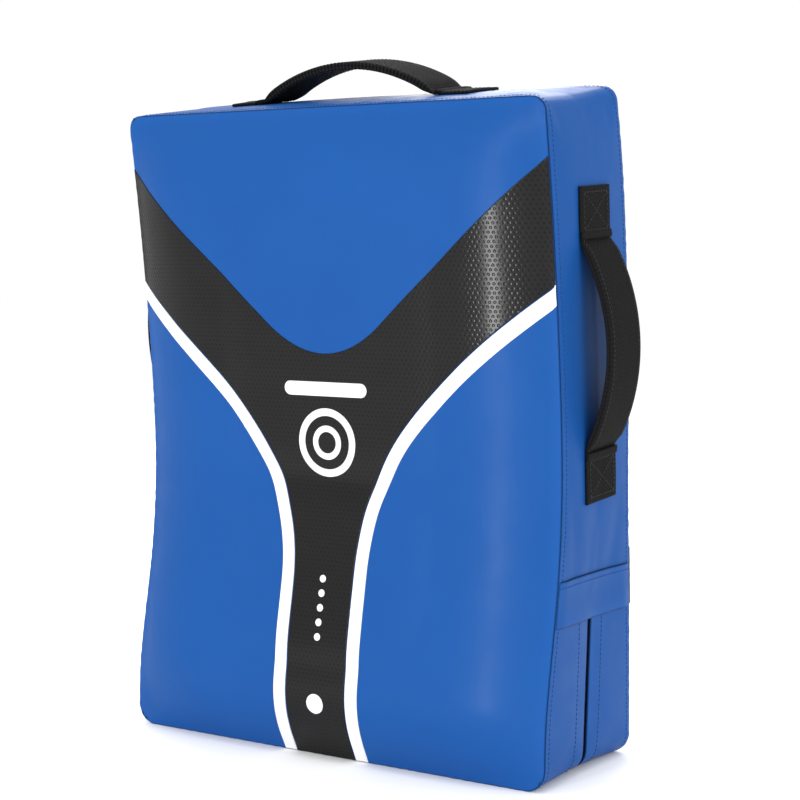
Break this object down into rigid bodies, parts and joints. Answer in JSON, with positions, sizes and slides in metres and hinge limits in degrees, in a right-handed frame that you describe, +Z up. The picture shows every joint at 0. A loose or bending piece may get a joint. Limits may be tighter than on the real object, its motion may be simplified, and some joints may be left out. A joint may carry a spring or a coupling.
{
  "type": "curved kick shield",
  "caption": "Curved martial arts kick shield with a Y-shaped strike panel, zipped cover, layered foam, webbing handles, padded arm loops and a riveted padded rear grip.",
  "frame": {"origin": "under the middle of the whole object, on the surface it stands on", "axes": "+Z up, the strike face towards -Y, the arm loops towards +Y, left is -X"},
  "size_m": [0.48, 0.2635, 0.589],
  "materials": {
    "blue_leather": "smooth synthetic leather, satin",
    "black_leather": "embossed synthetic leather, satin gloss",
    "white_leather": "smooth synthetic leather",
    "webbing": "coarse woven nylon webbing",
    "foam": "cut foam",
    "zip_tape": "woven zip tape",
    "zip_teeth": "moulded coil",
    "dark_metal": "dark plated",
    "label": "satin ribbon"
  },
  "bodies": {
    "pad": {"front_panel": "blue_leather", "gusset_upper": "blue_leather", "gusset_lower_front": "blue_leather", "gusset_lower_rear": "blue_leather", "zip_garage": "blue_leather", "front_y_panel": "black_leather", "stripe_left": "white_leather", "stripe_right": "white_leather", "foam_strike_layer": "foam", "foam_core": "foam", "foam_rear_layer": "foam", "zip_tape_front": "zip_tape", "zip_tape_rear": "zip_tape", "zip_teeth_front": "zip_teeth", "zip_teeth_rear": "zip_teeth", "rivet_left_lower": "dark_metal", "rivet_left_upper": "dark_metal", "rivet_right_lower": "dark_metal", "rivet_right_upper": "dark_metal", "back_panel": "blue_leather", "upper_band": "webbing", "lower_band": "webbing", "grip_patch_left": "blue_leather", "grip_backing_left": "webbing", "grip_patch_right": "blue_leather", "grip_backing_right": "webbing", "top_handle_root_left": "webbing", "top_handle_root_right": "webbing", "top_handle_tab_left": "webbing", "top_handle_tab_right": "webbing", "side_handle_left_root_lower": "webbing", "side_handle_left_root_upper": "webbing", "side_handle_left_tab_lower": "webbing", "side_handle_left_tab_upper": "webbing", "arm_loop_left_root_lower": "webbing", "arm_loop_left_root_upper": "webbing", "side_handle_right_root_lower": "webbing", "side_handle_right_root_upper": "webbing", "side_handle_right_tab_lower": "webbing", "side_handle_right_tab_upper": "webbing", "arm_loop_right_root_lower": "webbing", "arm_loop_right_root_upper": "webbing", "grip_root_left": "blue_leather", "grip_root_right": "blue_leather", "care_label": "label"},
    "top_handle": {"top_handle_loop": "webbing"},
    "side_handle_left": {"side_handle_left_loop": "webbing"},
    "side_handle_right": {"side_handle_right_loop": "webbing"},
    "arm_loop_left": {"arm_loop_left_loop": "webbing"},
    "arm_loop_right": {"arm_loop_right_loop": "webbing"},
    "rear_grip": {"grip_sleeve": "blue_leather", "grip_core": "foam", "grip_binding": "webbing"},
    "zip_slider": {"zip_slider": "dark_metal"},
    "zip_pull": {"zip_pull": "dark_metal"}
  },
  "joints": [
    {"name": "top_handle_swing", "type": "hinge", "parent": "pad", "child": "top_handle", "pos_m": [0, -0.06108, 0.56587], "axis": [1, 0, 0], "range_deg": [-25, 25]},
    {"name": "side_handle_left_swing", "type": "hinge", "parent": "pad", "child": "side_handle_left", "pos_m": [-0.224, -0.03633, 0.351], "axis": [0, -0.07, 0.9975], "range_deg": [-25, 25]},
    {"name": "side_handle_right_swing", "type": "hinge", "parent": "pad", "child": "side_handle_right", "pos_m": [0.224, -0.03633, 0.351], "axis": [0, -0.07, 0.9975], "range_deg": [-25, 25]},
    {"name": "arm_loop_left_swing", "type": "hinge", "parent": "pad", "child": "arm_loop_left", "pos_m": [-0.102, 0.08578, 0.2682], "axis": [0, -0.028, 0.9996], "range_deg": [-45, 45]},
    {"name": "arm_loop_right_swing", "type": "hinge", "parent": "pad", "child": "arm_loop_right", "pos_m": [0.102, 0.08578, 0.2682], "axis": [0, -0.028, 0.9996], "range_deg": [-45, 45]},
    {"name": "rear_grip_swing", "type": "hinge", "parent": "pad", "child": "rear_grip", "pos_m": [0, 0.06844, 0.47453], "axis": [1, 0, 0], "range_deg": [-25, 25]},
    {"name": "zip_slider_slide", "type": "slide", "parent": "pad", "child": "zip_slider", "axis": [0, 0.0599, 0.9982], "range_m": [-0.008, 0.085]},
    {"name": "zip_pull_swing", "type": "hinge", "parent": "zip_slider", "child": "zip_pull", "pos_m": [-0.2089, -0.03893, 0.05], "axis": [0, 0.9982, -0.0599], "range_deg": [0, 120]}
  ]
}
